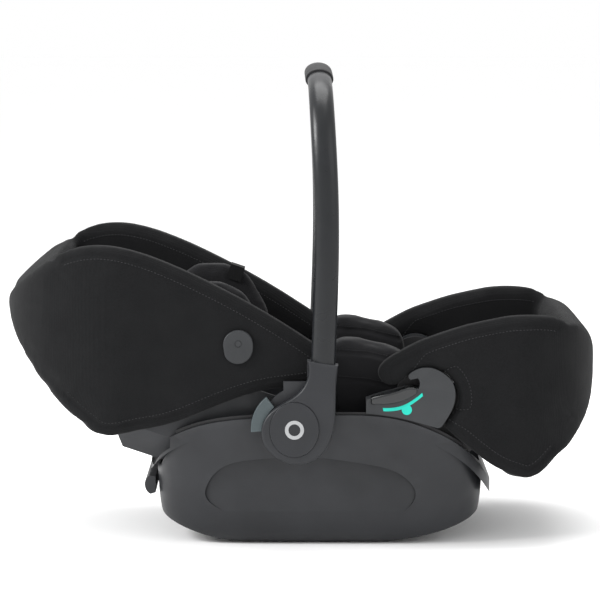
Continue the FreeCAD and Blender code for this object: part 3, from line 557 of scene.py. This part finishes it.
for name, (outline, _) in OUTLINES.items():
    cover = covers[name]
    body = COVERS[name][1]
    tree = tree_of(cover)
    channel = smoothed(offset_run(outline, CROWN), 3)
    sewn = smoothed(offset_run(outline, CROWN + STITCH_INSET), 3)
    pressed, threads = [], []
    for side in (-1, 1):
        pressed += laid_on(tree, even(channel, 0.0016), -side, OUTER_START)
        threads.append(laid_on(tree, even(sewn, STITCH_STEP), -side, OUTER_START))
        threads.append(laid_on(tree, even(sewn, STITCH_STEP), side, INNER_START))
    groove(cover, pressed, depth=0.0014, width=0.0022)
    stitches("stitches_" + body, threads, body)


def level_run(node, share):
    """A line along a piece at about a share of its height, falling to the front, as (x, z)."""
    low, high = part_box(node)
    inset, rise, fall = 0.006, 0.004, 0.012
    z = low[2] + (high[2] - low[2]) * share
    return [Vector((low[0] + inset, z + rise)), Vector(((low[0] + high[0]) / 2, z)),
            Vector((high[0] - inset, z - fall))]


hips = covers["cover_hips"]
hip_tree = tree_of(hips)
hip_threads, hip_pressed = [], []
for share in (0.86, 0.62):
    run = even(level_run("seat_bolster_right", share), 0.0018)
    above = [point + Vector((0, 0.004)) for point in run]
    for side in (-1, 1):
        for toward, start_y in ((-side, OUTER_START), (side, HIP_INNER_START)):
            hip_pressed += laid_on(hip_tree, run, toward, start_y)
            hip_threads.append(laid_on(hip_tree, above, toward, start_y))
groove(hips, hip_pressed, depth=0.0016, width=0.003)
stitches("stitches_hips", hip_threads, "base")


def dropped(tree, points):
    """(x, y) points dropped on a surface from above, as (place, normal)."""
    found = []
    for x, y in points:
        hit, normal, _, _ = tree.ray_cast(Vector((x, y, DROP_HEIGHT)), Vector((0, 0, -1)))
        if hit is not None:
            found.append((hit, normal))
    return found


def marks(low, high, margin=0.01):
    """Places a stitch apart between two ends, clear of both."""
    count = int((high - low - 2 * margin) / STITCH_STEP)
    return [low + margin + STITCH_STEP * i for i in range(count)]


def quilt(name, node, body, along, across):
    """Sewn channels lengthwise and crosswise on the top of a pad, each with its thread."""
    cover = covers[name]
    tree = tree_of(cover)
    low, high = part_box(node)
    lines = []
    for share in along:
        y = low[1] + (high[1] - low[1]) * share
        lines.append([(x, y) for x in marks(low[0], high[0])])
    for share in across:
        x = low[0] + (high[0] - low[0]) * share
        lines.append([(x, y) for y in marks(low[1], high[1])])
    runs = [dropped(tree, line) for line in lines]
    groove(cover, sum(runs, []), depth=0.0022, width=0.005)
    pressed_tree = tree_of(cover)
    settled = [dropped(pressed_tree, [(place.x, place.y) for place, _ in run]) for run in runs]
    stitches("stitches_" + name, settled, body)


quilt("cover_back_pad", "back_pad", "backrest", (0.16, 0.84), (0.45, 0.62, 0.79))
quilt("cover_leg_pad", "leg_pad", "leg_rest", (0.12, 0.88), (0.3, 0.6))
quilt("cover_seat", "seat_cushion", "base", (0.15, 0.85), (0.3,))
quilt("cover_head_pad", "headrest_pad", "headrest", (0.2, 0.8), ())

for name, (nodes, body, _, _, _, _, _, fill) in COVERS.items():
    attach(covers[name], body)
    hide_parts(*nodes)


# ---------------------------------------------------------------- webbing
LONGEST_EDGE = 0.004
RIPPLE, RIPPLE_ALONG, RIPPLE_ACROSS = 0.0002, 210, 40


def webbing(node, body):
    """A strap cut into small faces, with a slight ripple, from its plain solid."""
    strap = link("strap_" + node, NODES[node].data.copy(), "webbing")
    mesh = bmesh.new()
    mesh.from_mesh(strap.data)
    bmesh.ops.remove_doubles(mesh, verts=mesh.verts, dist=0.00001)
    for _ in range(4):
        long = [edge for edge in mesh.edges if edge.calc_length() > LONGEST_EDGE]
        bmesh.ops.subdivide_edges(mesh, edges=long, cuts=1, use_grid_fill=True)
    bmesh.ops.triangulate(mesh, faces=mesh.faces)
    mesh.normal_update()
    for vertex in mesh.verts:
        phase = vertex.co.x * RIPPLE_ALONG + abs(vertex.co.y) * RIPPLE_ACROSS
        ripple = math.sin(phase) * RIPPLE
        vertex.co += Vector((0, 0, ripple))
    mesh.to_mesh(strap.data)
    mesh.free()
    for polygon in strap.data.polygons:
        polygon.use_smooth = False
    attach(strap, body)
    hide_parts(node)


webbing("shoulder_straps", "backrest")
webbing("crotch_strap", "base")


# ---------------------------------------------------------------- floor, lights and camera
# name: (place, the point it looks at, size, watts)
LIGHTS = {
    "key": ((-2.6, -1.0, 1.9), (0, 0, 0.2), 1.2, 85),
    "fill": ((2.4, -2.0, 1.6), (0, 0, 0.25), 2.0, 12),
    "top": ((0.1, 0.6, 3.0), (0, 0, 0.2), 2.4, 70),
}
CAMERA_PLACE, CAMERA_DOWN = (0.010, -3.70, 0.72), 6.5  # metres, degrees below level
LENS, SENSOR = 168, 36                                 # mm
FLOOR_GAP = 0.0004                                     # keeps the floor clear of the feet


def studio():
    """A white floor under a white sky, with three soft lights."""
    bpy.ops.mesh.primitive_plane_add(size=40, location=(0, 3, -FLOOR_GAP))
    floor = bpy.context.object
    floor.name = "floor"
    material, _, shader = new_material("floor")
    shader.inputs["Base Color"].default_value = (1.0, 1.0, 1.0, 1)
    shader.inputs["Roughness"].default_value = 0.9
    floor.data.materials.append(material)
    world = bpy.data.worlds.new("studio")
    world.use_nodes = True
    world.node_tree.nodes["Background"].inputs["Color"].default_value = (1, 1, 1, 1)
    world.node_tree.nodes["Background"].inputs["Strength"].default_value = 1.0
    bpy.context.scene.world = world
    for name, (place, aim, size, power) in LIGHTS.items():
        light = bpy.data.lights.new(name, "AREA")
        light.size = size
        light.energy = power
        lamp = bpy.data.objects.new(name, light)
        lamp.location = place
        lamp.rotation_euler = (Vector(aim) - Vector(place)).to_track_quat("-Z", "Y").to_euler()
        bpy.context.scene.collection.objects.link(lamp)


studio()
camera_data = bpy.data.cameras.new("camera")
camera_data.sensor_width = SENSOR
camera_data.lens = LENS
camera = bpy.data.objects.new("camera", camera_data)
camera.location = CAMERA_PLACE
camera.rotation_euler = (math.radians(90 - CAMERA_DOWN), 0, 0)
bpy.context.scene.collection.objects.link(camera)
bpy.context.scene.camera = camera
bpy.context.scene.view_settings.view_transform = "Standard"
